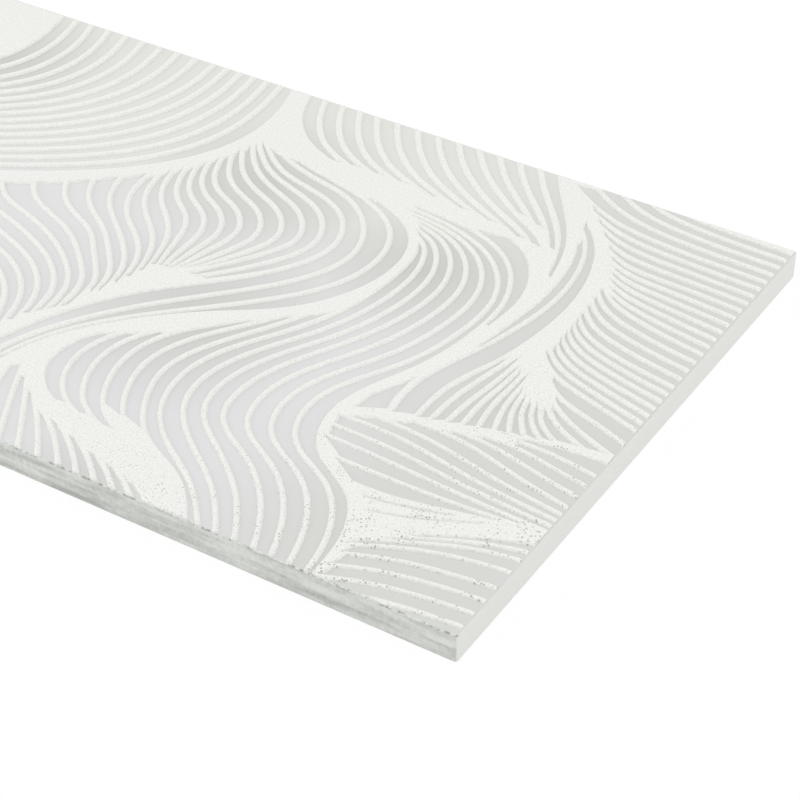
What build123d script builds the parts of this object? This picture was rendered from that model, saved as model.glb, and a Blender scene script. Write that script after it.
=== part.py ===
"""Relief glass wall tile, one solid, lying face up on its back.

Millimetres. The origin is the middle of the back face, +X runs along the length and +Z out of the face.
The face carries a drawing of flowing raised beads. A plane sheet over the whole face has the channels
between neighbouring beads cut out of it, so that beads that run together leave a flat web, and what is
left of the sheet is raised on the glass.
"""
import os
from math import ceil

from build123d import *

# Driving dimensions
LENGTH = 400.0
WIDTH = 200.0
GLASS_THICKNESS = 9.0
BEAD_HEIGHT = 0.8
BEAD_SETBACK = 0.2
NARROWEST_CHANNEL = 0.45
CORNER_RADIUS = 1.0
ARRIS = 0.4

# How closely a channel follows its two beads. Its sides are short straight runs, which keeps the facets
# of so many channels few: a run is at most this long, or turns by at most this many degrees.
STATIONS = 40
FEWEST_STATIONS = 4
LONGEST_RUN = 25.0
LARGEST_TURN = 15.0

# The drawing: fields of beads, each with the beads' half width and its guide beads by number. The beads
# between two guides are blended from them. Points are millimetres from the middle of a 400 x 200 face,
# and a bead that runs off the tile is drawn past its edge.
DRAWN_LENGTH = 400.0
DRAWN_WIDTH = 200.0
FIELDS = {
    "comb": (1.0, {
        0: ((150, 108), (160, 101.5), (171, 99), (186, 98), (206, 97.6)),
        4: ((126, 96), (134.5, 90.2), (147, 84.6), (168, 81), (206, 79.4)),
        8: ((141, 81), (148.5, 72.6), (157, 66.5), (175, 63.8), (206, 61.6)),
        14: ((156, 61), (158.5, 54), (164, 47.4), (178, 41.2), (206, 35.6)),
        18: ((157.5, 43), (159.5, 36.5), (164.5, 29.7), (179, 22.8), (206, 17.6)),
        24: ((158.5, 21), (161.5, 12.5), (168, 6.2), (180, 1.4), (206, -6.5)),
    }),
    "burst": (0.95, {
        0: ((163, 9.5), (168, 6), (179, 1.8), (206, -6.5)),
        1: ((166, 6), (172, -0.6), (185, -6.3), (206, -13.5)),
        2: ((167, 4), (172, -3), (181, -10), (200, -18)),
        4: ((167.5, 1), (170.8, -5.5), (175, -14), (183, -20.4)),
        8: ((162.5, 5), (163, -5), (164, -16), (166.3, -24.6)),
        11: ((156.8, 9), (155.7, -6), (154, -19), (153.5, -28.4)),
        13: ((152.8, 8), (147.2, -9), (145, -20), (145.2, -30.8)),
    }),
    "right_fan": (0.95, {
        0: ((168, -25.6), (180, -22.6), (192, -21.2), (206, -20.5)),
        1: ((164, -27.2), (180, -25.4), (192, -26.4), (206, -28.6)),
        4: ((146, -33), (162, -33.7), (182, -38.8), (206, -44)),
        5: ((136, -36.8), (154, -37.8), (176, -42.4), (206, -47)),
        6: ((127.3, -41.2), (145, -41.2), (170, -45.5), (206, -49.5)),
        8: ((129.5, -50.7), (144, -51.2), (170, -53), (200, -54.2)),
        10: ((146, -64.2), (157, -63.8), (170, -61.5), (190, -57)),
    }),
    "lower_fan": (0.95, {
        0: ((160, -78.7), (170, -73.5), (184, -66), (206, -57.5)),
        2: ((160, -82), (170, -77.2), (184, -71), (206, -66.5)),
        3: ((160, -84.9), (170, -80), (184, -75.3), (206, -72)),
        4: ((160, -89), (170, -85), (184, -81.8), (206, -79)),
        7: ((160, -104.5), (170, -101), (184, -98), (206, -96)),
        8: ((160, -110.5), (170, -107), (184, -104), (206, -101.5)),
    }),
    "s_wave": (1.0, {
        0: ((108, 62), (124, 59.5), (137.5, 47), (142.2, 30), (140.5, 10), (137.5, -12), (126, -41),
            (131.5, -56), (148, -68), (156.5, -84), (158.3, -106)),
        1: ((90, 60), (112, 57.2), (128, 48.5), (138, 30), (138.5, 10), (133.5, -12), (124.6, -41),
            (131, -57), (148, -69), (156, -84.5), (157.5, -106)),
        2: ((86, 58), (109, 54.3), (124.5, 46), (134.5, 30), (135, 10), (129.5, -11), (117.4, -42),
            (123, -57), (140, -68), (152, -85), (156, -106)),
        5: ((95, 51.5), (104, 48.5), (111.5, 42.5), (118, 29), (117.5, 10), (111, -10), (97.5, -44),
            (100, -58.5), (115, -69.7), (131, -85), (141.5, -106)),
        8: ((99.5, 43), (101.5, 39.5), (103, 34), (103.5, 24), (102, 9), (96, -10), (79.6, -44),
            (80.5, -58), (89, -72.2), (107, -85), (126, -106)),
    }),
    "s_turn": (1.0, {
        0: ((98.5, -4), (91.6, -18), (82, -35.5), (79.3, -50), (83, -64), (93.6, -76), (110.4, -87.8), (126, -106)),
        1: ((93, -6), (86.8, -18), (76.8, -36), (73.5, -50), (77, -63), (88, -77.3), (106, -87.5), (121, -106)),
        3: ((82, -15), (73.5, -24.5), (63.5, -38), (60.8, -50), (63.5, -63), (71, -74.3), (80, -79.8), (95, -86)),
        6: ((60, -32), (52, -40), (45, -49), (42.5, -58), (44, -67), (50, -74.5), (58, -79), (68, -82)),
    }),
    "long_sweep": (1.1, {
        0: ((45, 63), (66, 59.3), (84, 54), (97, 44), (101.8, 27), (98, 9.5), (87.5, -6.5), (64, -24.5),
            (47.5, -40.5), (36, -57.5), (30.5, -108)),
        1: ((38, 64), (60, 58.6), (78, 52.7), (90, 43), (94.8, 27), (91, 10.5), (80, -5), (62, -23),
            (46, -39.5), (34.5, -57), (28.5, -108)),
        2: ((33, 64.5), (50, 57.6), (68, 52.6), (81, 42), (86.8, 26), (83, 11.5), (71, -5), (53, -24.3),
            (40.5, -40), (30.5, -58), (22.5, -108)),
        3: ((28, 66), (42, 55), (60, 49.4), (72.5, 42.5), (79.3, 27), (75.5, 13), (61.8, -5), (46, -21),
            (34.5, -37), (26, -56), (16, -108)),
    }),
    "hook": (1.1, {
        0: ((28, 66), (42, 55), (60, 49.4), (72.5, 42.5), (79.3, 27), (75.5, 13), (58, -8)),
        2: ((26, 61), (35, 51), (48, 43.6), (60, 37.5), (67.8, 24), (64, 13), (50, -8)),
        5: ((21, 51), (25, 41.5), (32.5, 34), (42, 29), (50, 18), (49, 7), (45.8, -8)),
        8: ((15.5, 38), (19, 29.5), (24.5, 23), (31.3, 17.5), (35.7, 10), (37.7, 2), (40.5, -9)),
        11: ((7.5, 29.5), (8, 23), (11.3, 14), (18, 6), (27, -1.5), (33.5, -11), (36.5, -23)),
        14: ((-12, 12.5), (-7.5, 6.5), (1, 0.5), (11.5, -5.2), (21, -15), (29.5, -26), (31.5, -40)),
        17: ((-37, -4.5), (-31, -8.2), (-19, -11.5), (-4, -16.5), (12, -25), (21, -35), (24.5, -49)),
        20: ((-64, -17.5), (-55, -21.5), (-38, -25.5), (-18, -29.5), (1, -36), (12.5, -47), (19, -64)),
        23: ((-90, -26), (-77, -33.5), (-55, -40.5), (-32, -46), (-10, -53.5), (5, -66), (14, -84)),
        26: ((-117, -29), (-100, -41), (-77, -51), (-52, -58.5), (-28, -67.5), (-9, -81), (4, -108)),
        30: ((-143, -28), (-126, -45), (-102, -58), (-77, -68.5), (-54, -79), (-38, -91), (-26, -110)),
        35: ((-164, -22), (-148, -44), (-126, -61.5), (-105, -75), (-89, -87), (-79, -97), (-71, -110)),
    }),
    "corner_rings": (1.2, {
        0: ((-206, -4), (-188, -12), (-170, -27), (-151, -49), (-131, -67.5), (-111, -82), (-97, -94), (-86, -109)),
        6: ((-206, -38), (-194, -43), (-182, -51.5), (-170, -63), (-157, -75), (-145, -86), (-135, -96), (-126, -109)),
        13: ((-206, -79), (-201.5, -80.5), (-197, -83.5), (-192, -87.5), (-187, -92), (-182, -97), (-178, -102),
             (-174, -109)),
        16: ((-206, -97), (-204.5, -97.5), (-202.5, -98.5), (-200.5, -100), (-198.5, -102), (-196.5, -104),
             (-194, -106), (-192, -109)),
    }),
    "arcs": (1.3, {
        0: ((14, 106), (20.6, 84), (19.6, 60), (9, 39.5), (-13, 19), (-42, 1.5), (-62, -8.5), (-95, -20.5),
            (-135, -21), (-170, -12), (-206, 3)),
        1: ((9.5, 106), (13.2, 84), (11.5, 60), (1.5, 40), (-19, 21), (-47, 4.5), (-66, -4), (-97, -15.5),
            (-135, -16), (-170, -7), (-206, 8)),
        6: ((-18, 106), (-15.8, 84), (-21.5, 60), (-36, 40), (-56, 25), (-77, 14.5), (-91, 9.5), (-111, 4.5),
            (-137, 6.5), (-168, 18), (-206, 37)),
        13: ((-72.5, 106), (-65.5, 84), (-68.5, 61), (-79, 47.5), (-91, 40.5), (-102, 37), (-110, 36), (-122, 36.5),
             (-141, 41), (-167, 53), (-206, 75)),
        15: ((-85, 106), (-80, 84), (-82, 65.5), (-89.5, 54.5), (-98, 48.8), (-106, 46.2), (-113, 45.6), (-124, 46.3),
             (-142, 51), (-167, 63), (-206, 85)),
    }),
    "eye_fan": (1.2, {
        0: ((-91, 66), (-106, 54.5), (-124, 53), (-144, 58.5), (-170, 72), (-206, 93)),
        4: ((-93, 71), (-108, 66), (-124, 68.5), (-140, 75.5), (-158, 87), (-182, 107)),
        8: ((-95, 76.5), (-108, 78), (-119, 82.5), (-130, 89.5), (-138, 97), (-147, 108)),
        10: ((-96, 80), (-106, 84), (-114, 89), (-121, 95), (-126.5, 101), (-131, 108)),
    }),
    "top_band": (1.25, {
        0: ((20.5, 106), (26, 89), (36, 76), (48, 69), (62, 65)),
        4: ((46, 106), (57, 87.5), (69, 76), (82, 69.5), (97, 64.8)),
        9: ((84, 106), (97, 89), (112, 76.5), (122, 70), (131, 64)),
        13: ((114.5, 106), (123, 92.5), (132.5, 79), (139.5, 66.5), (143.8, 50)),
    }),
    "leaf": (0.9, {
        0: ((138, 74), (143, 63), (146, 48), (146.2, 34), (144.5, 20), (142.5, 7), (138, -9), (136, -22), (137, -32.5)),
        1: ((136, 79.5), (144.8, 67), (149.4, 52), (150.4, 38), (148, 21), (143.6, 5), (138.8, -9), (136.8, -22),
            (138, -32.5)),
        2: ((133.5, 85), (146.6, 71), (153.6, 54), (156, 36), (154.6, 18), (150.6, 1), (146.6, -10), (144.9, -21),
            (145.1, -30.3)),
    }),
    "notch": (0.9, {
        0: ((136.5, -13), (131.5, -23), (128.8, -30), (128.2, -36)),
        1: ((136.9, -13), (136.2, -22), (136.4, -28), (137.4, -32)),
    }),
    "bottom_fan": (1.0, {
        0: ((35, -72), (38.5, -83), (44.5, -95), (52, -108)),
        1: ((38.5, -70), (43.5, -80), (50, -92), (59, -108)),
        4: ((53, -81), (60, -85.5), (68, -92), (81, -107)),
        9: ((82, -89), (91, -92), (101, -97), (114, -107)),
    }),
}


def on_face(points):
    """Drawn points, stretched to this tile's face and set at the level of the channels."""
    return [Vector(x * LENGTH / DRAWN_LENGTH, y * WIDTH / DRAWN_WIDTH, GLASS_THICKNESS) for x, y in points]


def bead_lines(guides):
    """The middle line of each bead of a field, from its first guide to its last."""
    numbers = sorted(guides)
    lines = []
    for low, high in zip(numbers, numbers[1:]):
        pairs = list(zip(on_face(guides[low]), on_face(guides[high])))
        for number in range(low, high):
            share = (number - low) / (high - low)
            lines.append(Spline(*[a + (b - a) * share for a, b in pairs]))
    lines.append(Spline(*on_face(guides[numbers[-1]])))
    return lines


def across(line, station, towards):
    """The level direction square to a bead's line that points to a neighbour's side of it."""
    square = (line % station).cross(Vector(0, 0, 1))
    return square if square.dot(towards - (line @ station)) > 0 else -square


def channel_sides(first, second, half_width, stations):
    """Both sides of the channel between two beads, as a pair of points for each station."""
    sides = []
    for station in stations:
        a, b = first @ station, second @ station
        near = a + across(first, station, b) * half_width
        far = b + across(second, station, a) * half_width
        sides.append((near, far))
    return sides


def open_stretch(first, second, half_width):
    """The longest row of stations at which the channel between two beads is wide enough to show."""
    stations = [step / STATIONS for step in range(STATIONS + 1)]
    best, row = [], []
    for station, (near, far) in zip(stations, channel_sides(first, second, half_width, stations)):
        width = (far - near).dot(across(first, station, second @ station))
        row = row + [station] if width > NARROWEST_CHANNEL else []
        best = max(best, row, key=len)
    return best


def channel(first, second, half_width):
    """The plane face of the channel between two neighbouring beads, or None where they run together."""
    stretch = open_stretch(first, second, half_width)
    if len(stretch) < FEWEST_STATIONS:
        return None
    start, end = stretch[0], stretch[-1]
    turn = sum((first % a).get_angle(first % b) for a, b in zip(stretch, stretch[1:]))
    runs = ceil(first.length * (end - start) / LONGEST_RUN + turn / LARGEST_TURN)
    stations = [start + (end - start) * step / runs for step in range(runs + 1)]
    near, far = zip(*channel_sides(first, second, half_width, stations))
    return make_face(Polyline(*near, *reversed(far), close=True))


def relief_channels():
    """Every channel of every field."""
    channels = []
    for half_width, guides in FIELDS.values():
        lines = bead_lines(guides)
        channels += [channel(first, second, half_width) for first, second in zip(lines, lines[1:])]
    return [face for face in channels if face is not None]


def raised_beads():
    """The beads and webs: a sheet over the face, less its channels, raised to the height of the beads."""
    inset = 2 * (ARRIS + BEAD_SETBACK)
    sheet = Pos(0, 0, GLASS_THICKNESS) * RectangleRounded(LENGTH - inset, WIDTH - inset, CORNER_RADIUS)
    return extrude(sheet.cut(*relief_channels()), BEAD_HEIGHT, dir=(0, 0, 1))


def glass_slab():
    """The cast and sawn slab: rounded upright corners, then a small arris along both faces."""
    outline = RectangleRounded(LENGTH, WIDTH, CORNER_RADIUS)
    slab = extrude(outline, GLASS_THICKNESS)
    face_edges = slab.edges().filter_by(Axis.Z, reverse=True)
    return chamfer(face_edges, ARRIS)


tile = glass_slab().fuse(raised_beads())
tile.label = "glass_tile"
os.makedirs("parts", exist_ok=True)
export_step(tile, "parts/glass_tile.step")
print("glass_tile", tile.bounding_box().size, round(tile.volume), "mm3", "valid", tile.is_valid)
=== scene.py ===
"""Looks of a relief glass wall tile: a white glass slab with sawn edges and fired frit beads on its face.

Laid out as an add-on, and run as a script. Lengths are metres, apart from the drawing of the beads, which is
in millimetres from the middle of the face, as the tile is drawn.
"""
from math import cos, pi, radians, sin, sqrt

import bmesh
import bpy
import numpy as np
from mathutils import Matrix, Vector


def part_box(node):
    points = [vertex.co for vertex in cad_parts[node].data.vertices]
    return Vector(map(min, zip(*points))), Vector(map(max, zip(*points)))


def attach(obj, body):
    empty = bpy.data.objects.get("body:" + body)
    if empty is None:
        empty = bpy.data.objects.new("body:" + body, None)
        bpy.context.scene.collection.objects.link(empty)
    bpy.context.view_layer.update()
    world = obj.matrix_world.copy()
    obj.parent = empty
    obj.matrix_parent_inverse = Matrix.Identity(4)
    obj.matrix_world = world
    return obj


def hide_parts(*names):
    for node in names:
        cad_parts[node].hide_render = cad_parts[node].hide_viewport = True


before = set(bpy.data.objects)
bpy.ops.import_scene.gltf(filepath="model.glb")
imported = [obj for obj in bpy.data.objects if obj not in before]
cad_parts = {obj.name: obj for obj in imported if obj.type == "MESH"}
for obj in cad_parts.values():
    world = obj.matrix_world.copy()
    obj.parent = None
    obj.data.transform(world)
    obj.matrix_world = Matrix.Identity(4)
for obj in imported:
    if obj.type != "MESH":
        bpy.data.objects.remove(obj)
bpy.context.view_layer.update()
TILE_LOW, TILE_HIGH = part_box("glass_tile")
MM = 0.001

bl_info = {
    "name": "Relief glass tile",
    "version": (1, 0, 0),
    "blender": (4, 5, 0),
    "location": "3D View > Sidebar > Glass tile",
    "description": "Builds a white glass wall tile with flowing beads of fired frit on its face",
    "category": "Add Mesh",
}

# The drawing of the beads: fields, each with the beads' half width, the half width that they taper to where
# they draw together, and its guide beads by number. The beads between two guides are blended from them, and a
# bead that runs off the tile is drawn past its edge.
FIELDS = {
    "comb": (1.0, 0.6, {
        0: ((150, 108), (160, 101.5), (171, 99), (186, 98), (206, 97.6)),
        4: ((126, 96), (134.5, 90.2), (147, 84.6), (168, 81), (206, 79.4)),
        8: ((141, 81), (148.5, 72.6), (157, 66.5), (175, 63.8), (206, 61.6)),
        14: ((156, 61), (158.5, 54), (164, 47.4), (178, 41.2), (206, 35.6)),
        18: ((157.5, 43), (159.5, 36.5), (164.5, 29.7), (179, 22.8), (206, 17.6)),
        24: ((158.5, 21), (161.5, 12.5), (168, 6.2), (180, 1.4), (206, -6.5)),
    }),
    "burst": (0.95, 0.85, {
        0: ((163, 9.5), (168, 6), (179, 1.8), (206, -6.5)),
        1: ((166, 6), (172, -0.6), (185, -6.3), (206, -13.5)),
        2: ((167, 4), (172, -3), (181, -10), (200, -18)),
        4: ((167.5, 1), (170.8, -5.5), (175, -14), (183, -20.4)),
        8: ((162.5, 5), (163, -5), (164, -16), (166.3, -24.6)),
        11: ((156.8, 9), (155.7, -6), (154, -19), (153.5, -28.4)),
        13: ((152.8, 8), (147.2, -9), (145, -20), (145.2, -30.8)),
    }),
    "right_fan": (0.8, 0.6, {
        0: ((168, -25.6), (180, -22.6), (192, -21.2), (206, -20.5)),
        1: ((164, -27.2), (180, -25.4), (192, -26.4), (206, -28.6)),
        4: ((146, -33), (162, -33.7), (182, -38.8), (206, -44)),
        5: ((136, -36.8), (154, -37.8), (176, -42.4), (206, -47)),
        6: ((127.3, -41.2), (145, -41.2), (170, -45.5), (206, -49.5)),
        8: ((129.5, -50.7), (144, -51.2), (170, -53), (200, -54.2)),
        10: ((146, -64.2), (157, -63.8), (170, -61.5), (190, -57)),
    }),
    "lower_fan": (0.8, 0.6, {
        0: ((160, -78.7), (170, -73.5), (184, -66), (206, -57.5)),
        2: ((160, -82), (170, -77.2), (184, -71), (206, -66.5)),
        3: ((160, -84.9), (170, -80), (184, -75.3), (206, -72)),
        4: ((160, -89), (170, -85), (184, -81.8), (206, -79)),
        7: ((160, -104.5), (170, -101), (184, -98), (206, -96)),
        8: ((160, -110.5), (170, -107), (184, -104), (206, -101.5)),
    }),
    "s_wave": (0.95, 0.6, {
        0: ((108, 59.8), (124, 59.5), (137.5, 47), (142.2, 30), (140.5, 10), (137.5, -12), (126, -41),
            (131.5, -56), (148, -68), (156.5, -84), (158.3, -106)),
        1: ((90, 60), (112, 57.2), (128, 48.5), (138, 30), (138.5, 10), (133.5, -12), (124.6, -41),
            (131, -57), (148, -69), (156, -84.5), (157.5, -106)),
        2: ((86, 58), (109, 54.3), (124.5, 46), (134.5, 30), (135, 10), (129.5, -11), (117.4, -42),
            (123, -57), (140, -68), (152, -85), (156, -106)),
        5: ((95, 51.5), (104, 48.5), (111.5, 42.5), (118, 29), (117.5, 10), (111, -10), (97.5, -44),
            (100, -58.5), (115, -69.7), (131, -85), (141.5, -106)),
        8: ((99.5, 43), (101.5, 39.5), (103, 34), (103.5, 24), (102, 9), (96, -10), (79.6, -44),
            (80.5, -58), (89, -72.2), (107, -85), (126, -106)),
    }),
    "s_turn": (0.95, 0.6, {
        0: ((98.5, -4), (91.6, -18), (82, -35.5), (79.3, -50), (83, -64), (93.6, -76), (110.4, -87.8),
            (126, -106)),
        1: ((93, -6), (86.8, -18), (76.8, -36), (73.5, -50), (77, -63), (88, -77.3), (106, -87.5),
            (121, -106)),
        3: ((82, -15), (73.5, -24.5), (63.5, -38), (60.8, -50), (63.5, -63), (71, -74.3), (80, -79.8),
            (95, -86)),
        6: ((60, -32), (52, -40), (45, -49), (42.5, -58), (44, -67), (50, -74.5), (58, -79), (68, -82)),
    }),
    "long_sweep": (1.05, 0.6, {
        0: ((45, 63), (66, 59.3), (84, 54), (97, 44), (101.8, 27), (98, 9.5), (87.5, -6.5), (64, -24.5),
            (47.5, -40.5), (36, -57.5), (30.5, -108)),
        1: ((38, 64), (60, 58.6), (78, 52.7), (90, 43), (94.8, 27), (91, 10.5), (80, -5), (62, -23),
            (46, -39.5), (34.5, -57), (28.5, -108)),
        2: ((33, 64.5), (50, 57.6), (68, 52.6), (81, 42), (86.8, 26), (83, 11.5), (71, -5), (53, -24.3),
            (40.5, -40), (30.5, -58), (22.5, -108)),
        3: ((28, 66), (42, 55), (60, 49.4), (72.5, 42.5), (79.3, 27), (75.5, 13), (61.8, -5), (46, -21),
            (34.5, -37), (26, -56), (16, -108)),
    }),
    "hook": (1.05, 0.6, {
        0: ((28, 66), (42, 55), (60, 49.4), (72.5, 42.5), (79.3, 27), (75.5, 13), (58, -8)),
        2: ((26, 61), (35, 51), (48, 43.6), (60, 37.5), (67.8, 24), (64, 13), (50, -8)),
        5: ((21, 51), (25, 41.5), (32.5, 34), (42, 29), (50, 18), (49, 7), (45.8, -8)),
        8: ((15.5, 38), (19, 29.5), (24.5, 23), (31.3, 17.5), (35.7, 10), (37.7, 2), (40.5, -9)),
        11: ((7.5, 29.5), (8, 23), (11.3, 14), (18, 6), (27, -1.5), (33.5, -11), (36.5, -23)),
        14: ((-12, 12.5), (-7.5, 6.5), (1, 0.5), (11.5, -5.2), (21, -15), (29.5, -26), (31.5, -40)),
        17: ((-37, -4.5), (-31, -8.2), (-19, -11.5), (-4, -16.5), (12, -25), (21, -35), (24.5, -49)),
        20: ((-64, -17.5), (-55, -21.5), (-38, -25.5), (-18, -29.5), (1, -36), (12.5, -47), (19, -64)),
        23: ((-90, -26), (-77, -33.5), (-55, -40.5), (-32, -46), (-10, -53.5), (5, -66), (14, -84)),
        26: ((-117, -29), (-100, -41), (-77, -51), (-52, -58.5), (-28, -67.5), (-9, -81), (4, -108)),
        30: ((-143, -28), (-126, -45), (-102, -58), (-77, -68.5), (-54, -79), (-38, -91), (-26, -110)),
        35: ((-164, -22), (-148, -44), (-126, -61.5), (-105, -75), (-89, -87), (-79, -97), (-71, -110)),
    }),
    "corner_rings": (1.2, 0.6, {
        0: ((-206, -4), (-188, -12), (-170, -27), (-151, -49), (-131, -67.5), (-111, -82), (-97, -94),
            (-86, -109)),
        6: ((-206, -38), (-194, -43), (-182, -51.5), (-170, -63), (-157, -75), (-145, -86),
            (-135, -96), (-126, -109)),
        13: ((-206, -79), (-201.5, -80.5), (-197, -83.5), (-192, -87.5), (-187, -92), (-182, -97),
             (-178, -102), (-174, -109)),
        16: ((-206, -97), (-204.5, -97.5), (-202.5, -98.5), (-200.5, -100), (-198.5, -102), (-196.5, -104),
             (-194, -106), (-192, -109)),
    }),
    "arcs": (1.25, 0.6, {
        0: ((14, 106), (20.6, 84), (19.6, 60), (9, 39.5), (-13, 19), (-42, 1.5), (-62, -8.5), (-95, -20.5),
            (-135, -21), (-170, -12), (-206, 3)),
        1: ((9.5, 106), (13.2, 84), (11.5, 60), (1.5, 40), (-19, 21), (-47, 4.5), (-66, -4), (-97, -15.5),
            (-135, -16), (-170, -7), (-206, 8)),
        6: ((-18, 106), (-15.8, 84), (-21.5, 60), (-36, 40), (-56, 25), (-77, 14.5), (-91, 9.5),
            (-111, 4.5), (-137, 6.5), (-168, 18), (-206, 37)),
        13: ((-72.5, 106), (-65.5, 84), (-68.5, 61), (-79, 47.5), (-91, 40.5), (-102, 37), (-110, 36),
             (-122, 36.5), (-141, 41), (-167, 53), (-206, 75)),
        15: ((-85, 106), (-80, 84), (-82, 65.5), (-89.5, 54.5), (-98, 48.8), (-106, 46.2),
             (-113, 45.6), (-124, 46.3), (-142, 51), (-167, 63), (-206, 85)),
    }),
    "eye_fan": (1.2, 0.6, {
        0: ((-91, 66), (-106, 54.5), (-124, 53), (-144, 58.5), (-170, 72), (-206, 93)),
        4: ((-93, 71), (-108, 66), (-124, 68.5), (-140, 75.5), (-158, 87), (-182, 107)),
        8: ((-95, 76.5), (-108, 78), (-119, 82.5), (-130, 89.5), (-138, 97), (-147, 108)),
        10: ((-96, 80), (-106, 84), (-114, 89), (-121, 95), (-126.5, 101), (-131, 108)),
    }),
    "top_band": (1.2, 0.6, {
        0: ((20.5, 106), (26, 89), (36, 76), (48, 69), (62, 65), (74, 63)),
        4: ((46, 106), (57, 87.5), (69, 76), (82, 69.5), (97, 64.8), (109, 63)),
        9: ((84, 106), (97, 89), (112, 76.5), (122, 70), (131, 64), (134.5, 59.5)),
        13: ((114.5, 106), (123, 92.5), (132.5, 79), (139.5, 66.5), (143.8, 50), (145, 42.5)),
    }),
    "leaf": (0.9, 0.6, {
        0: ((138, 74), (143, 63), (146, 48), (146.2, 34), (144.5, 20), (142.5, 7), (138, -9),
            (136, -22), (137, -32.5)),
        1: ((136, 79.5), (144.8, 67), (149.4, 52), (150.4, 38), (148, 21), (143.6, 5), (138.8, -9),
            (136.8, -22), (138, -32.5)),
        2: ((133.5, 85), (146.6, 71), (153.6, 54), (156, 36), (154.6, 18), (150.6, 1), (146.6, -10),
            (144.9, -21), (145.1, -30.3)),
    }),
    "notch": (0.9, 0.6, {
        0: ((136.5, -13), (131.5, -23), (128.8, -30), (128.2, -36)),
        1: ((136.9, -13), (136.2, -22), (136.4, -28), (137.4, -32)),
    }),
    "bottom_fan": (0.95, 0.6, {
        0: ((35, -72), (38.5, -83), (44.5, -95), (52, -108)),
        1: ((38.5, -70), (43.5, -80), (50, -92), (59, -108)),
        4: ((53, -81), (60, -85.5), (68, -92), (81, -107)),
        9: ((82, -89), (91, -92), (101, -97), (114, -107)),
    }),
}

# Fine grooves that part the frit of a web
GROOVES = (
    ((151.5, -67.4), (160, -65.8), (168, -63.9), (176, -61.4)),
    ((156, -71.5), (163, -69.6), (172, -66), (184, -60.2)),
)

# Painted shade: where the glass between the beads is darkened, standing in for the shade in its narrow
# channels, in millimetres: the middle of each place and its spread
PAINTED_SHADE_PLACES = ((42, 48, 42), (110, 32, 36), (66, -24, 46), (-78, 64, 38), (84, -112, 30))

# How finely the drawing is followed: a step in millimetres along a bead, and numbers of places
STATION_STEP = 1.85
FEWEST_STATIONS = 24
FEWEST_OPEN = 4
ROUND_STEPS = 2

# How beads and channels are drawn: a bead's half width as a share of the pitch, how squarely the sides of a
# channel have to face each other, the cosine of a turn that is too sharp to keep, the places that the wobble
# is averaged over, its seed, and the angle at which a groove's run-out starts
HALF_OF_PITCH = 0.36
LEAST_SQUARE = 0.1
NEEDLE = -0.9
WOBBLE_RUN = 3
WOBBLE_SEED = 7
RUN_OUT = 0.1

# Pointed ends of the channels, in millimetres: their length, the width left at the tip, and the widest end
# that gets one
TIP_RUN = 5.0
TIP_LEAST = 0.15
TIP_WIDEST = 1.5

# How far channels and the sheet run past the tile, in millimetres
OVERRUN = 3.0
SHEET_MARGIN = 20.0

# How the bead sheet is cut and rounded, and how the slab is finished
BEAD_SINK = 0.1 * MM
END_STEPS = (0.15, 0.5, 1.0)
END_DROP = 0.9
LARGEST_BEAD_FACE = 1.2 * MM**2
MERGE_REACH = 0.002 * MM
FLAT = 0.999
LEANING = 0.1
CORNER_STEPS = 4
ARRIS_STEPS = 2
FACE, SAWN, SATIN, CHIPPED = range(4)
GLASS_IOR = 1.5

# A Mix node's sockets for colours, by their numbers
SHARE, FROM, TO, MIXED = 0, 6, 7, 2

# The stage, in metres from the middle of the tile's back
FLOOR_REACH = 3.0
FLOOR_WHITE_SHARE = 0.93
KEY_PLACE, KEY_SIZE = Vector((0.9, -0.7, 2.3)), 1.6
LEFT_PLACE, LEFT_SIZE = Vector((-1.1, -0.4, 0.6)), 0.8
SIDE_PLACE, SIDE_SIZE = Vector((1.2, 0.3, 0.7)), 0.8
NEAREST_SEEN = 0.01


class GlassTileSizes(bpy.types.PropertyGroup):
    """Sizes of the tile that its CAD solid doesn't state by itself."""

    bead_height: bpy.props.FloatProperty(
        name="Bead height",
        description="How far the beads stand up from the channels",
        default=0.8 * MM,
        unit="LENGTH",
    )
    bead_round: bpy.props.FloatProperty(
        name="Bead shoulder",
        description="Width of the shoulders of the beads",
        default=0.54 * MM,
        unit="LENGTH",
    )
    bead_end_round: bpy.props.FloatProperty(
        name="Bead end rounding",
        description="Length over which the beads round down to the ground edges of the tile",
        default=1.2 * MM,
        unit="LENGTH",
    )
    bead_setback: bpy.props.FloatProperty(
        name="Bead setback",
        description="How far the beads stop short of the tile's ground edges",
        default=0.6 * MM,
        unit="LENGTH",
    )
    sawn_setback: bpy.props.FloatProperty(
        name="Sawn setback",
        description="How far the beads stop short of the sawn long side",
        default=0.15 * MM,
        unit="LENGTH",
    )
    bead_wobble: bpy.props.FloatProperty(
        name="Bead wobble",
        description="How far the sides of the hand-laid frit wander",
        default=0.035 * MM,
        unit="LENGTH",
    )
    narrowest_channel: bpy.props.FloatProperty(
        name="Narrowest channel",
        description="Beads closer than this run together in a flat web",
        default=0.2 * MM,
        unit="LENGTH",
    )
    groove: bpy.props.FloatProperty(
        name="Groove",
        description="Width of the fine grooves in the webs",
        default=0.4 * MM,
        unit="LENGTH",
    )
    corner_radius: bpy.props.FloatProperty(
        name="Corner radius",
        description="Rounding of the slab's upright corners",
        default=1.0 * MM,
        unit="LENGTH",
    )
    arris: bpy.props.FloatProperty(
        name="Arris",
        description="Softened edge along both faces of the slab",
        default=0.4 * MM,
        unit="LENGTH",
    )


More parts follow.
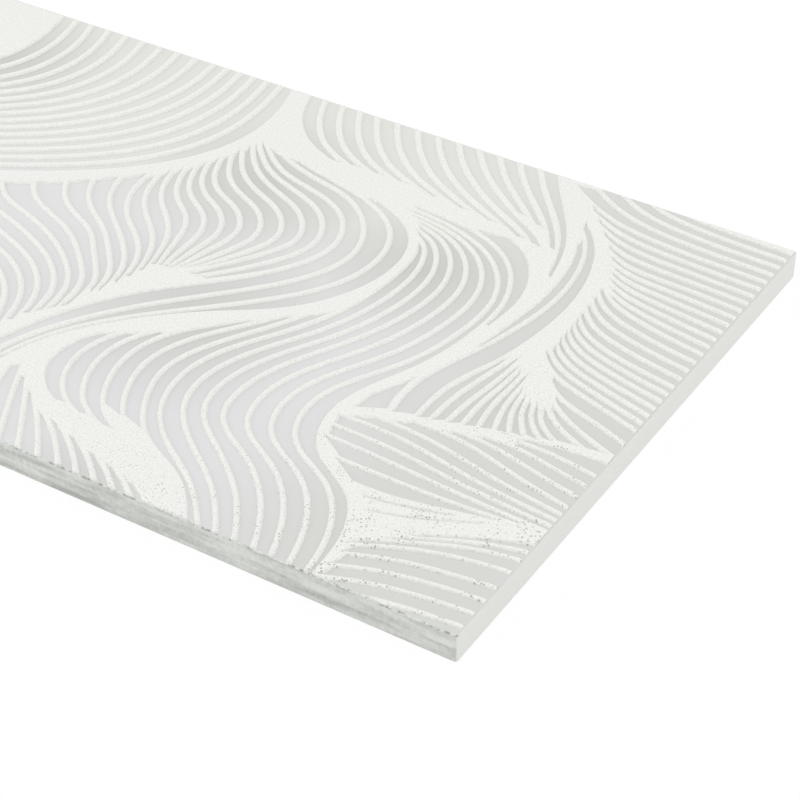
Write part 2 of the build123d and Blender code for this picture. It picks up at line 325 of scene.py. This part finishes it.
class GlassTileColours(bpy.types.PropertyGroup):
    """Colours of the glass and of the frit, as sRGB hex."""

    # Painted reflection: the cool, greenish and grey colours of the channels together stand in for the
    # studio's reflection in their gloss
    channel_cool: bpy.props.StringProperty(
        name="Channels, cool",
        description="Glossy glass between the beads where it looks cool",
        default="E0E0E1",
    )
    channel_green: bpy.props.StringProperty(
        name="Channels, greenish",
        description="Glossy glass between the beads towards the far long edge",
        default="E1E2DC",
    )
    channel_grey: bpy.props.StringProperty(
        name="Channels, grey",
        description="Glossy glass between the beads towards one short end",
        default="D5D6D2",
    )
    # Painted shade: the colour that the glass is darkened to where the narrow channels would be shaded
    channel_painted_shade: bpy.props.StringProperty(
        name="Channels, shaded",
        description="Glossy glass in the places where it looks darkest",
        default="CACBC6",
    )
    frit: bpy.props.StringProperty(
        name="Frit",
        description="Fired frit of the beads and webs",
        default="F4F5F0",
    )
    frit_dull: bpy.props.StringProperty(
        name="Frit, dull",
        description="Duller grains of the fired frit",
        default="E8E9E4",
    )
    # Painted shade: dark specks that stand in for the shade in small pits between the frit's grains
    pit_shade_speck: bpy.props.StringProperty(
        name="Specks",
        description="Pits and clear grains in the frit",
        default="7F817B",
    )
    sawn_pale: bpy.props.StringProperty(
        name="Sawn edge",
        description="Sawn long side",
        default="DDDFDA",
    )
    sawn_streak: bpy.props.StringProperty(
        name="Saw streaks",
        description="Streaks along the sawn long side",
        default="AEB1AB",
    )
    chip: bpy.props.StringProperty(
        name="Chips",
        description="Chips along the upper edge of the sawn long side",
        default="A0A39D",
    )
    satin: bpy.props.StringProperty(
        name="Satin edge",
        description="Ground edges and back",
        default="DEDFDA",
    )
    floor: bpy.props.StringProperty(
        name="Floor",
        description="Plain pale floor",
        default="FFFFFF",
    )


class GlassTileStage(bpy.types.PropertyGroup):
    """Camera and light."""

    azimuth: bpy.props.FloatProperty(
        name="Azimuth",
        description="Turn of the camera round the tile, from the side of the near long edge",
        default=radians(32.15),
        subtype="ANGLE",
    )
    elevation: bpy.props.FloatProperty(
        name="Elevation",
        description="Height angle of the camera over the face",
        default=radians(37.42),
        subtype="ANGLE",
    )
    lens: bpy.props.FloatProperty(
        name="Lens",
        description="Focal length in millimetres on a 36 mm sensor",
        default=104.16,
    )
    from_corner: bpy.props.FloatVectorProperty(
        name="From corner",
        description="Place of the camera from the near corner of the face, to its own right, up and back",
        default=(-13.98 * MM, 57.98 * MM, 566.60 * MM),
        unit="LENGTH",
    )
    surround: bpy.props.FloatProperty(
        name="Surround",
        description="Share of the plain light level that comes evenly from all round",
        default=0.72,
    )
    key: bpy.props.FloatProperty(
        name="Key",
        description="Share of the plain light level that comes from the soft light high before the tile",
        default=0.17,
    )
    left: bpy.props.FloatProperty(
        name="Left",
        description="Share of the plain light level that comes low from the soft light on the left",
        default=0.1,
    )
    side: bpy.props.FloatProperty(
        name="Side",
        description="Share of the plain light level that comes from the soft light beyond the short end",
        default=0.05,
    )


def linear(code):
    """A colour for a shader's socket from its sRGB hex."""
    shares = [int(code[start:start + 2], 16) / 255 for start in (0, 2, 4)]
    return (*[s / 12.92 if s <= 0.04045 else ((s + 0.055) / 1.055) ** 2.4 for s in shares], 1.0)


def add_node(tree, kind, inputs=(), **settings):
    """A node with its settings. Each input is a plain value, or an output of another node to link."""
    node = tree.nodes.new(kind)
    for name, value in settings.items():
        setattr(node, name, value)
    for key, value in dict(inputs).items():
        if isinstance(value, bpy.types.NodeSocket):
            tree.links.new(value, node.inputs[key])
        else:
            node.inputs[key].default_value = value
    return node


def new_glass(name, roughness):
    """A named glass material with its node tree, its shader and the object's own coordinates."""
    material = bpy.data.materials.new(name)
    material.use_nodes = True
    tree = material.node_tree
    shader = tree.nodes["Principled BSDF"]
    shader.inputs["Roughness"].default_value = roughness
    shader.inputs["IOR"].default_value = GLASS_IOR
    place = add_node(tree, "ShaderNodeTexCoord").outputs["Object"]
    return material, tree, shader, place


def channel_glass(colours):
    """Fire-polished face between the beads: calm and glossy, drifting from cool to greenish and greyer white,
    which is painted reflection of the studio in the gloss, broken up by random clouds.

    It is darkest in a few soft places, which is painted shade standing in for the shade in narrow channels.
    """
    cloud = 60 * MM
    grey_from, grey_to = 110 * MM, 155 * MM
    green_to = 60 * MM
    material, tree, shader, place = new_glass("fire_polished_white_glass", roughness=0.16)
    axes = add_node(tree, "ShaderNodeSeparateXYZ", {0: place})
    # Painted reflection: the glass greys towards the short end at +X, broken up by clouds, and turns greenish
    # towards the far long edge, standing in for the studio's reflection in the gloss
    drift = add_node(
        tree, "ShaderNodeMapRange", {"Value": axes.outputs["X"], "From Min": grey_from, "From Max": grey_to},
    )
    clouds = add_node(tree, "ShaderNodeTexNoise", {"Vector": place, "Scale": 1 / cloud, "Detail": 1.0})
    share = add_node(
        tree, "ShaderNodeMath", {0: clouds.outputs[0], 1: 0.6, 2: drift.outputs[0]}, operation="MULTIPLY_ADD",
    )
    level = add_node(
        tree, "ShaderNodeMapRange", {"Value": share.outputs[0], "From Min": 0.3, "From Max": 1.3},
    )
    away = add_node(
        tree, "ShaderNodeMapRange", {"Value": axes.outputs["Y"], "From Min": 0.0, "From Max": green_to},
    )
    pale = add_node(
        tree,
        "ShaderNodeMix",
        {SHARE: away.outputs[0], FROM: linear(colours.channel_cool), TO: linear(colours.channel_green)},
        data_type="RGBA",
    )
    toned = add_node(
        tree,
        "ShaderNodeMix",
        {SHARE: level.outputs[0], FROM: pale.outputs[MIXED], TO: linear(colours.channel_grey)},
        data_type="RGBA",
    )
    # Painted shade: soft round spots darken the glass towards the shaded colour, standing in for the shade in
    # narrow channels between the beads
    shade = 0.0
    for x, y, spread in PAINTED_SHADE_PLACES:
        reach = spread * MM
        middle = (-x / spread, -y / spread, 0.0)
        around = add_node(
            tree,
            "ShaderNodeMapping",
            {"Vector": place, "Location": middle, "Scale": (1 / reach, 1 / reach, 0.0)},
        )
        spot = add_node(
            tree, "ShaderNodeTexGradient", {"Vector": around.outputs[0]}, gradient_type="SPHERICAL",
        )
        darkest = add_node(
            tree, "ShaderNodeMath", {0: spot.outputs["Fac"], 1: shade}, operation="MAXIMUM",
        )
        shade = darkest.outputs[0]
    colour = add_node(
        tree,
        "ShaderNodeMix",
        {SHARE: shade, FROM: toned.outputs[MIXED], TO: linear(colours.channel_painted_shade)},
        data_type="RGBA",
    )
    tree.links.new(colour.outputs[MIXED], shader.inputs["Base Color"])
    return material


def fired_frit(colours):
    """Fused glass grains: a warm white sugar crust, mottled grain by grain, with dark specks of painted shade
    in its pits, thickest at one corner.

    Real grains are about 0.2 mm, too fine to show, so the grains, the mottle and the pits are drawn coarser.
    """
    grain, mottle_size, pit_spacing, flock = 0.55 * MM, 0.7 * MM, 1.0 * MM, 7 * MM
    grain_height = 0.1 * MM
    few_pits, many_pits = 120 * MM, 250 * MM
    material, tree, shader, place = new_glass("fired_white_frit", roughness=0.5)
    grains = add_node(tree, "ShaderNodeTexVoronoi", {"Vector": place, "Scale": 1 / grain})
    sugar = add_node(tree, "ShaderNodeTexNoise", {"Vector": place, "Scale": 1 / mottle_size, "Detail": 2.0})
    mottle = add_node(
        tree, "ShaderNodeMapRange", {"Value": sugar.outputs[0], "From Min": 0.35, "From Max": 0.65},
    )
    crust = add_node(
        tree,
        "ShaderNodeMix",
        {SHARE: mottle.outputs[0], FROM: linear(colours.frit_dull), TO: linear(colours.frit)},
        data_type="RGBA",
    )
    # Painted shade: the pits are not cut into the surface; they are dark specks of colour where their shade
    # would be
    pits = add_node(tree, "ShaderNodeTexVoronoi", {"Vector": place, "Scale": 1 / pit_spacing})
    axes = add_node(tree, "ShaderNodeSeparateXYZ", {0: place})
    corner = add_node(
        tree, "ShaderNodeMath", {0: axes.outputs["X"], 1: axes.outputs["Y"]}, operation="SUBTRACT",
    )
    reach = add_node(
        tree,
        "ShaderNodeMapRange",
        {
            "Value": corner.outputs[0],
            "From Min": few_pits,
            "From Max": many_pits,
            "To Min": 0.1,
            "To Max": 0.42,
        },
    )
    flocks = add_node(tree, "ShaderNodeTexNoise", {"Vector": place, "Scale": 1 / flock, "Detail": 1.0})
    gather = add_node(
        tree,
        "ShaderNodeMapRange",
        {"Value": flocks.outputs[0], "From Min": 0.35, "From Max": 0.6, "To Min": 0.25},
    )
    size = add_node(
        tree, "ShaderNodeMath", {0: reach.outputs[0], 1: gather.outputs[0]}, operation="MULTIPLY",
    )
    depth = add_node(
        tree,
        "ShaderNodeMapRange",
        {
            "Value": pits.outputs["Distance"],
            "From Min": 0.0,
            "From Max": size.outputs[0],
            "To Min": 1.0,
            "To Max": 0.0,
        },
    )
    # Painted shade: the specks darken the crust where pits between the grains would be shaded
    colour = add_node(
        tree,
        "ShaderNodeMix",
        {SHARE: depth.outputs[0], FROM: crust.outputs[MIXED], TO: linear(colours.pit_shade_speck)},
        data_type="RGBA",
    )
    tree.links.new(colour.outputs[MIXED], shader.inputs["Base Color"])
    bump = add_node(
        tree,
        "ShaderNodeBump",
        {"Strength": 0.25, "Distance": grain_height, "Height": grains.outputs["Distance"]},
        invert=True,
    )
    tree.links.new(bump.outputs[0], shader.inputs["Normal"])
    return material


def sawn_glass(colours):
    """Sawn long side: matt and finely mottled, with streaks of the blade along it that gather low down.

    The grit's own marks, about 0.1 mm, are too fine to show, so the mottle is drawn coarser.
    """
    streak_length, streak_width, mottle_size = 25 * MM, 2.5 * MM, 1.2 * MM
    thick_below, thin_above = 1.5 * MM, 5 * MM
    material, tree, shader, place = new_glass("sawn_glass_edge", roughness=0.45)
    stretched = add_node(
        tree, "ShaderNodeMapping", {"Vector": place, "Scale": (1 / streak_length, 1.0, 1 / streak_width)},
    )
    streaks = add_node(
        tree, "ShaderNodeTexNoise", {"Vector": stretched.outputs[0], "Scale": 1.0, "Detail": 3.0},
    )
    grain = add_node(tree, "ShaderNodeTexNoise", {"Vector": place, "Scale": 1 / mottle_size, "Detail": 3.0})
    rough = add_node(
        tree,
        "ShaderNodeMath",
        {0: grain.outputs[0], 1: 0.4, 2: streaks.outputs[0]},
        operation="MULTIPLY_ADD",
    )
    axes = add_node(tree, "ShaderNodeSeparateXYZ", {0: place})
    low = add_node(
        tree,
        "ShaderNodeMapRange",
        {
            "Value": axes.outputs["Z"],
            "From Min": thick_below,
            "From Max": thin_above,
            "To Min": 0.12,
            "To Max": 0.0,
        },
    )
    gathered = add_node(tree, "ShaderNodeMath", {0: rough.outputs[0], 1: low.outputs[0]})
    share = add_node(
        tree, "ShaderNodeMapRange", {"Value": gathered.outputs[0], "From Min": 0.58, "From Max": 0.98},
    )
    colour = add_node(
        tree,
        "ShaderNodeMix",
        {SHARE: share.outputs[0], FROM: linear(colours.sawn_pale), TO: linear(colours.sawn_streak)},
        data_type="RGBA",
    )
    tree.links.new(colour.outputs[MIXED], shader.inputs["Base Color"])
    return material


def chipped_arris(colours):
    """Upper edge of the sawn long side: a thin broken line of dark chips."""
    chip_size = 1.4 * MM
    material, tree, shader, place = new_glass("chipped_glass_arris", roughness=0.35)
    chips = add_node(tree, "ShaderNodeTexNoise", {"Vector": place, "Scale": 1 / chip_size, "Detail": 2.0})
    share = add_node(
        tree, "ShaderNodeMapRange", {"Value": chips.outputs[0], "From Min": 0.45, "From Max": 0.65},
    )
    colour = add_node(
        tree,
        "ShaderNodeMix",
        {SHARE: share.outputs[0], FROM: linear(colours.sawn_pale), TO: linear(colours.chip)},
        data_type="RGBA",
    )
    tree.links.new(colour.outputs[MIXED], shader.inputs["Base Color"])
    return material


def satin_glass(colours):
    """Ground edges and back: even satin white."""
    material, _, shader, _ = new_glass("satin_ground_glass", roughness=0.4)
    shader.inputs["Base Color"].default_value = linear(colours.satin)
    return material


def add_piece(name, mesh, materials):
    """A finished piece at the origin that moves with the tile."""
    for material in materials:
        mesh.materials.append(material)
    piece = bpy.data.objects.new(name, mesh)
    bpy.context.scene.collection.objects.link(piece)
    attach(piece, "root")
    return piece


def smooth_line(points, count):
    """A natural cubic through given points, as evenly spaced points along it."""
    knots = np.array(points, float)
    chords = np.linalg.norm(np.diff(knots, axis=0), axis=1)
    reach = np.concatenate([[0.0], np.cumsum(chords)])
    rows = np.eye(len(knots))
    pull = np.zeros((len(knots), 2))
    for i in range(1, len(knots) - 1):
        before, after = chords[i - 1], chords[i]
        rows[i, i - 1:i + 2] = before, 2 * (before + after), after
        pull[i] = 6 * ((knots[i + 1] - knots[i]) / after - (knots[i] - knots[i - 1]) / before)
    bend = np.linalg.solve(rows, pull)
    along = np.linspace(0.0, reach[-1], count)
    span = np.clip(np.searchsorted(reach, along, side="right") - 1, 0, len(chords) - 1)
    chord = chords[span][:, None]
    past = along[:, None] - reach[span][:, None]
    left = chord - past
    curve = (bend[span] * left**3 + bend[span + 1] * past**3) / (6 * chord)
    curve += (knots[span] / chord - bend[span] * chord / 6) * left
    curve += (knots[span + 1] / chord - bend[span + 1] * chord / 6) * past
    return curve


def bead_guides(guides):
    """Points of each bead of a field, blended between the field's guides."""
    numbers = sorted(guides)
    beads = []
    for low, high in zip(numbers, numbers[1:]):
        start, end = np.array(guides[low], float), np.array(guides[high], float)
        beads += [start + (end - start) * (number - low) / (high - low) for number in range(low, high)]
    beads.append(np.array(guides[numbers[-1]], float))
    return beads


def square_to(line, towards):
    """Unit directions square to a line, on the side that another line lies on."""
    ahead = np.gradient(line, axis=0)
    square = np.stack([-ahead[:, 1], ahead[:, 0]], axis=1)
    square /= np.linalg.norm(square, axis=1)[:, None]
    return square * np.sign(np.median(((towards - line) * square).sum(axis=1)))


def blunted(outline):
    """A closed outline without the needle points that slanting ends leave, or None if nothing is left."""
    while len(outline) > FEWEST_OPEN:
        ahead = np.roll(outline, -1, axis=0) - outline
        ahead /= np.linalg.norm(ahead, axis=1)[:, None]
        straightness = (ahead * np.roll(ahead, 1, axis=0)).sum(axis=1)
        if straightness.min() > NEEDLE:
            return outline
        outline = np.delete(outline, straightness.argmin(), axis=0)
    return None


def pointed(near, far):
    """The sides of a channel, drawn together towards each end that is narrow and lies on the tile."""
    middle = (near + far) / 2
    run = np.concatenate([[0.0], np.cumsum(np.linalg.norm(np.diff(middle, axis=0), axis=1))])
    for end, from_end in ((0, run), (-1, run[-1] - run)):
        gap = np.linalg.norm(far[end] - near[end])
        on_tile = (abs(middle[end]) < np.array(TILE_HIGH.xy) / MM).all()
        if on_tile and TIP_LEAST < gap < TIP_WIDEST:
            share = np.clip(from_end / TIP_RUN, TIP_LEAST / gap, 1.0)[:, None]
            near = middle + (near - middle) * share
            far = middle + (far - middle) * share
    return near, far


def channel_outline(first, second, half_widths, sizes, chance):
    """Outline of the channel between two neighbouring beads in millimetres, or None if they run together."""
    length = np.linalg.norm(np.diff(first, axis=0), axis=1).sum()
    count = max(FEWEST_STATIONS, round(length / STATION_STEP))
    near_line, far_line = smooth_line(first, count), smooth_line(second, count)
    inward, outward = square_to(near_line, far_line), square_to(far_line, near_line)
    pitch = ((far_line - near_line) * inward).sum(axis=1)
    half = np.clip(pitch * HALF_OF_PITCH, min(half_widths), max(half_widths))
    wobble = np.cumsum(chance.uniform(-1.0, 1.0, (2, count + WOBBLE_RUN)), axis=1)
    wobble = (wobble[:, WOBBLE_RUN:] - wobble[:, :-WOBBLE_RUN]) / WOBBLE_RUN * sizes.bead_wobble / MM
    near = near_line + inward * (half + wobble[0])[:, None]
    far = far_line + outward * (half + wobble[1])[:, None]
    width = ((far - near) * inward).sum(axis=1)
    squarely = width > LEAST_SQUARE * np.linalg.norm(far - near, axis=1)
    reach = np.array(TILE_HIGH.xy) / MM + OVERRUN
    on_tile = (np.minimum(abs(near), abs(far)) < reach).all(axis=1)
    open_places = np.flatnonzero((width > sizes.narrowest_channel / MM) & squarely & on_tile)
    stretches = np.split(open_places, np.flatnonzero(np.diff(open_places) > 1) + 1)
    longest = max(stretches, key=len)
    if len(longest) < FEWEST_OPEN:
        return None
    near, far = pointed(near[longest], far[longest])
    return blunted(np.concatenate([near, far[::-1]]))


def groove_outline(points, sizes):
    """Outline of a fine groove in a web, which runs out to a point at both ends, in millimetres."""
    line = smooth_line(points, FEWEST_STATIONS)
    square = square_to(line, line + np.array(points[-1]) - np.array(points[0]))
    run_out = np.sqrt(np.sin(np.linspace(RUN_OUT, pi - RUN_OUT, FEWEST_STATIONS)))
    aside = square * (run_out * sizes.groove / MM / 2)[:, None]
    return np.concatenate([line + aside, (line - aside)[::-1]])


def channel_outlines(sizes):
    """Outlines of every channel and groove of the drawing, in millimetres."""
    chance = np.random.default_rng(WOBBLE_SEED)
    outlines = []
    for *half_widths, guides in FIELDS.values():
        beads = bead_guides(guides)
        for first, second in zip(beads, beads[1:]):
            outline = channel_outline(first, second, half_widths, sizes, chance)
            if outline is not None:
                outlines.append(outline)
    return outlines + [groove_outline(points, sizes) for points in GROOVES]


def add_loop(curve, outline):
    """A closed loop of straight runs in a flat curve."""
    loop = curve.splines.new("POLY")
    loop.points.add(len(outline) - 1)
    places = np.concatenate([outline, np.zeros((len(outline), 1)), np.ones((len(outline), 1))], axis=1)
    loop.points.foreach_set("co", places.ravel())
    loop.use_cyclic_u = True


def bead_sheet(sizes):
    """A flat filled curve in millimetres over the whole face, with a round-edged hole for each channel."""
    curve = bpy.data.curves.new("bead_drawing", "CURVE")
    curve.dimensions = "2D"
    curve.fill_mode = "BOTH"
    curve.bevel_depth = sizes.bead_round / MM
    curve.bevel_resolution = ROUND_STEPS
    curve.offset = -sizes.bead_round / MM
    right, top = TILE_HIGH.x / MM + SHEET_MARGIN, TILE_HIGH.y / MM + SHEET_MARGIN
    add_loop(curve, np.array([(-right, -top), (right, -top), (right, top), (-right, top)]))
    for outline in channel_outlines(sizes):
        add_loop(curve, outline)
    drawing = bpy.data.objects.new("bead_drawing", curve)
    bpy.context.scene.collection.objects.link(drawing)
    mesh = bpy.data.meshes.new_from_object(drawing.evaluated_get(bpy.context.evaluated_depsgraph_get()))
    bpy.data.objects.remove(drawing)
    bpy.data.curves.remove(curve)
    return mesh


def cut_away(bm, place, outward):
    """Cuts everything on the outward side of a plane away and closes the cut."""
    geometry = bm.verts[:] + bm.edges[:] + bm.faces[:]
    cut = bmesh.ops.bisect_plane(bm, geom=geometry, plane_co=place, plane_no=outward, clear_outer=True)
    edges = [item for item in cut["geom_cut"] if isinstance(item, bmesh.types.BMEdge)]
    bmesh.ops.triangle_fill(bm, edges=edges, use_beauty=True, normal=outward)


class GLASSTILE_OT_slab(bpy.types.Operator):
    """Glass slab with rounded corners, an arris along both faces, a sawn long side and three ground edges"""

    bl_idname = "glasstile.add_slab"
    bl_label = "Glass slab"

    def execute(self, context):
        sizes, colours = context.scene.glass_tile_sizes, context.scene.glass_tile_colours
        top = TILE_HIGH.z - sizes.bead_height
        span = Vector((TILE_HIGH.x - TILE_LOW.x, TILE_HIGH.y - TILE_LOW.y, top - TILE_LOW.z))
        bm = bmesh.new()
        bmesh.ops.create_cube(bm, size=1.0)
        bmesh.ops.scale(bm, vec=span, verts=bm.verts)
        bmesh.ops.translate(bm, vec=(0, 0, TILE_LOW.z + span.z / 2), verts=bm.verts)
        bm.normal_update()
        for face in bm.faces:
            face.material_index = self.finish_of(face.normal)
        upright = [
            edge for edge in bm.edges if abs(edge.verts[0].co.z - edge.verts[1].co.z) > span.z / 2
        ]
        self.round_off(bm, upright, sizes.corner_radius, CORNER_STEPS)
        level = [edge for edge in bm.edges if len({round(face.normal.z) for face in edge.link_faces}) > 1]
        self.round_off(bm, level, sizes.arris, ARRIS_STEPS)
        bm.normal_update()
        for face in bm.faces:
            face.smooth = max(abs(axis) for axis in face.normal) < FLAT
            if face.smooth and face.normal.z > LEANING and face.normal.y < -LEANING:
                face.material_index = CHIPPED
        mesh = bpy.data.meshes.new("glass_slab")
        bm.to_mesh(mesh)
        bm.free()
        finishes = [channel_glass(colours), sawn_glass(colours), satin_glass(colours), chipped_arris(colours)]
        slab = add_piece("glass_slab", mesh, finishes)
        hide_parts("glass_tile")
        return {"FINISHED"}

    @staticmethod
    def finish_of(normal):
        """Which finish a side of the slab has: that of the face, of the sawn long side, or of the rest."""
        if normal.z > FLAT:
            return FACE
        return SAWN if normal.y < -FLAT else SATIN

    @staticmethod
    def round_off(bm, edges, radius, segments):
        """Rounds edges of the slab."""
        bmesh.ops.bevel(
            bm, geom=edges, offset=radius, segments=segments, profile=0.5, affect="EDGES", material=-1,
        )


class GLASSTILE_OT_beads(bpy.types.Operator):
    """Raised beads and webs of fired frit over the face, with an opening for each channel"""

    bl_idname = "glasstile.add_beads"
    bl_label = "Frit beads"

    def execute(self, context):
        sizes, colours = context.scene.glass_tile_sizes, context.scene.glass_tile_colours
        sheet = bead_sheet(sizes)
        bm = bmesh.new()
        bm.from_mesh(sheet)
        bpy.data.meshes.remove(sheet)
        bmesh.ops.scale(bm, vec=(MM, MM, MM), verts=bm.verts)
        bmesh.ops.remove_doubles(bm, verts=bm.verts, dist=MERGE_REACH)
        self.soften(bm, sizes)
        level = TILE_HIGH.z - sizes.bead_height
        bmesh.ops.translate(bm, vec=(0, 0, level), verts=bm.verts)
        sawn = Vector((0, -1, 0))
        cut_away(bm, sawn * (TILE_HIGH.y - sizes.sawn_setback), sawn)
        ground = [
            (Vector((1, 0, 0)), TILE_HIGH.x),
            (Vector((-1, 0, 0)), TILE_HIGH.x),
            (Vector((0, 1, 0)), TILE_HIGH.y),
        ]
        for outward, edge in ground:
            cut_away(bm, outward * (edge - sizes.bead_setback), outward)
        cut_away(bm, Vector((0, 0, level - BEAD_SINK)), Vector((0, 0, -1)))
        for outward, edge in ground:
            self.round_ends(bm, sizes, outward, edge - sizes.bead_setback, level)
        bm.normal_update()
        for face in bm.faces:
            face.smooth = abs(face.normal.z) < FLAT or face.calc_area() < LARGEST_BEAD_FACE
        mesh = bpy.data.meshes.new("frit_beads")
        bm.to_mesh(mesh)
        bm.free()
        add_piece("frit_beads", mesh, [fired_frit(colours)])
        return {"FINISHED"}

    @staticmethod
    def soften(bm, sizes):
        """Turns the round shoulders into the low wave that melted frit settles to."""
        for vert in bm.verts:
            rise = min(1.0, vert.co.z / sizes.bead_round)
            if rise > 0.0:
                inset = 1.0 - sqrt(1.0 - rise**2)
                vert.co.z = sizes.bead_height * sin(inset * pi / 2)

    @staticmethod
    def round_ends(bm, sizes, outward, reach, level):
        """Rounds the beads down to a ground edge of the tile."""
        for share in END_STEPS:
            place = outward * (reach - share * sizes.bead_end_round)
            geometry = bm.verts[:] + bm.edges[:] + bm.faces[:]
            bmesh.ops.bisect_plane(bm, geom=geometry, plane_co=place, plane_no=outward)
        for vert in bm.verts:
            past = 1.0 - (reach - vert.co.dot(outward)) / sizes.bead_end_round
            if past > 0.0 and vert.co.z > level:
                vert.co.z = level + (vert.co.z - level) * sqrt(1.0 - END_DROP * min(1.0, past)**2)


class GLASSTILE_OT_stage(bpy.types.Operator):
    """Plain pale floor, soft light and the camera"""

    bl_idname = "glasstile.add_stage"
    bl_label = "Stage"

    def execute(self, context):
        sizes, stage = context.scene.glass_tile_sizes, context.scene.glass_tile_stage
        self.add_floor(context.scene.glass_tile_colours)
        self.light_all_round(context.scene, stage)
        self.add_soft_light("key_light", stage.key, KEY_PLACE, KEY_SIZE)
        self.add_soft_light("left_light", stage.left, LEFT_PLACE, LEFT_SIZE)
        self.add_soft_light("side_light", stage.side, SIDE_PLACE, SIDE_SIZE)
        self.add_camera(context.scene, stage, TILE_HIGH.z - sizes.bead_height)
        context.scene.view_settings.view_transform = "Standard"
        return {"FINISHED"}

    @staticmethod
    def seen_directly(tree):
        """1 for what the camera sees, straight or in gloss and glass, and 0 for what lights the object."""
        path = add_node(tree, "ShaderNodeLightPath")
        shiny = add_node(
            tree,
            "ShaderNodeMath",
            {0: path.outputs["Is Glossy Ray"], 1: path.outputs["Is Transmission Ray"]},
            operation="MAXIMUM",
        )
        seen = add_node(
            tree,
            "ShaderNodeMath",
            {0: path.outputs["Is Camera Ray"], 1: shiny.outputs[0]},
            operation="MAXIMUM",
        )
        return seen.outputs[0]

    def add_floor(self, colours):
        """A white floor whose own light leaves a faint shadow under the tile."""
        bm = bmesh.new()
        bmesh.ops.create_grid(bm, x_segments=1, y_segments=1, size=FLOOR_REACH)
        mesh = bpy.data.meshes.new("floor")
        bm.to_mesh(mesh)
        bm.free()
        material = bpy.data.materials.new("plain_pale_floor")
        material.use_nodes = True
        tree = material.node_tree
        tree.nodes.remove(tree.nodes["Principled BSDF"])
        matt = add_node(tree, "ShaderNodeBsdfDiffuse", {"Color": linear(colours.floor)})
        white = add_node(tree, "ShaderNodeEmission", {"Strength": 1.0})
        share = add_node(
            tree, "ShaderNodeMath", {0: self.seen_directly(tree), 1: FLOOR_WHITE_SHARE}, operation="MULTIPLY",
        )
        mix = add_node(
            tree, "ShaderNodeMixShader", {0: share.outputs[0], 1: matt.outputs[0], 2: white.outputs[0]},
        )
        tree.links.new(mix.outputs[0], tree.nodes["Material Output"].inputs["Surface"])
        mesh.materials.append(material)
        floor = bpy.data.objects.new("floor", mesh)
        floor.location.z = TILE_LOW.z
        bpy.context.scene.collection.objects.link(floor)

    def light_all_round(self, scene, stage):
        """Even light from all round, which is seen as plain white."""
        scene.world = bpy.data.worlds.new("white_studio")
        scene.world.use_nodes = True
        tree = scene.world.node_tree
        strength = add_node(
            tree,
            "ShaderNodeMapRange",
            {"Value": self.seen_directly(tree), "To Min": stage.surround, "To Max": 1.0},
        )
        background = tree.nodes["Background"]
        background.inputs["Color"].default_value = (1.0, 1.0, 1.0, 1.0)
        tree.links.new(strength.outputs[0], background.inputs["Strength"])

    @staticmethod
    def add_soft_light(name, share, place, size):
        """A square soft light aimed at the tile, which gives a level face this share of the plain level."""
        lamp = bpy.data.lights.new(name, "AREA")
        lamp.size = size
        lamp.energy = share * pi**2 * place.length**3 / place.z
        light = bpy.data.objects.new(name, lamp)
        light.location = place
        light.rotation_euler = place.to_track_quat("Z", "Y").to_euler()
        bpy.context.scene.collection.objects.link(light)

    @staticmethod
    def add_camera(scene, stage, face_height):
        """A camera placed from the near corner of the face, in its own directions."""
        turn, rise = stage.azimuth, stage.elevation
        right = Vector((cos(turn), sin(turn), 0))
        back = Vector((sin(turn) * cos(rise), -cos(turn) * cos(rise), sin(rise)))
        up = back.cross(right)
        corner = Vector((TILE_HIGH.x, TILE_LOW.y, face_height))
        lens = bpy.data.cameras.new("camera")
        lens.lens = stage.lens
        lens.clip_start = NEAREST_SEEN
        camera = bpy.data.objects.new("camera", lens)
        aside, above, behind = stage.from_corner
        camera.location = corner + right * aside + up * above + back * behind
        camera.rotation_euler = (pi / 2 - rise, 0, turn)
        scene.collection.objects.link(camera)
        scene.camera = camera


class GLASSTILE_PT_panel(bpy.types.Panel):
    """The tile's pieces and sizes"""

    bl_label = "Glass tile"
    bl_space_type = "VIEW_3D"
    bl_region_type = "UI"
    bl_category = "Glass tile"

    def draw(self, context):
        for operator in (GLASSTILE_OT_slab, GLASSTILE_OT_beads, GLASSTILE_OT_stage):
            self.layout.operator(operator.bl_idname)
        scene = context.scene
        for group in (scene.glass_tile_sizes, scene.glass_tile_colours, scene.glass_tile_stage):
            box = self.layout.box()
            for name in group.__annotations__:
                box.prop(group, name)


CLASSES = (
    GlassTileSizes,
    GlassTileColours,
    GlassTileStage,
    GLASSTILE_OT_slab,
    GLASSTILE_OT_beads,
    GLASSTILE_OT_stage,
    GLASSTILE_PT_panel,
)


def register():
    for kind in CLASSES:
        bpy.utils.register_class(kind)
    bpy.types.Scene.glass_tile_sizes = bpy.props.PointerProperty(type=GlassTileSizes)
    bpy.types.Scene.glass_tile_colours = bpy.props.PointerProperty(type=GlassTileColours)
    bpy.types.Scene.glass_tile_stage = bpy.props.PointerProperty(type=GlassTileStage)


def unregister():
    del bpy.types.Scene.glass_tile_stage
    del bpy.types.Scene.glass_tile_colours
    del bpy.types.Scene.glass_tile_sizes
    for kind in reversed(CLASSES):
        bpy.utils.unregister_class(kind)


def main():
    register()
    bpy.ops.glasstile.add_slab()
    bpy.ops.glasstile.add_beads()
    bpy.ops.glasstile.add_stage()


if __name__ == "__main__":
    main()
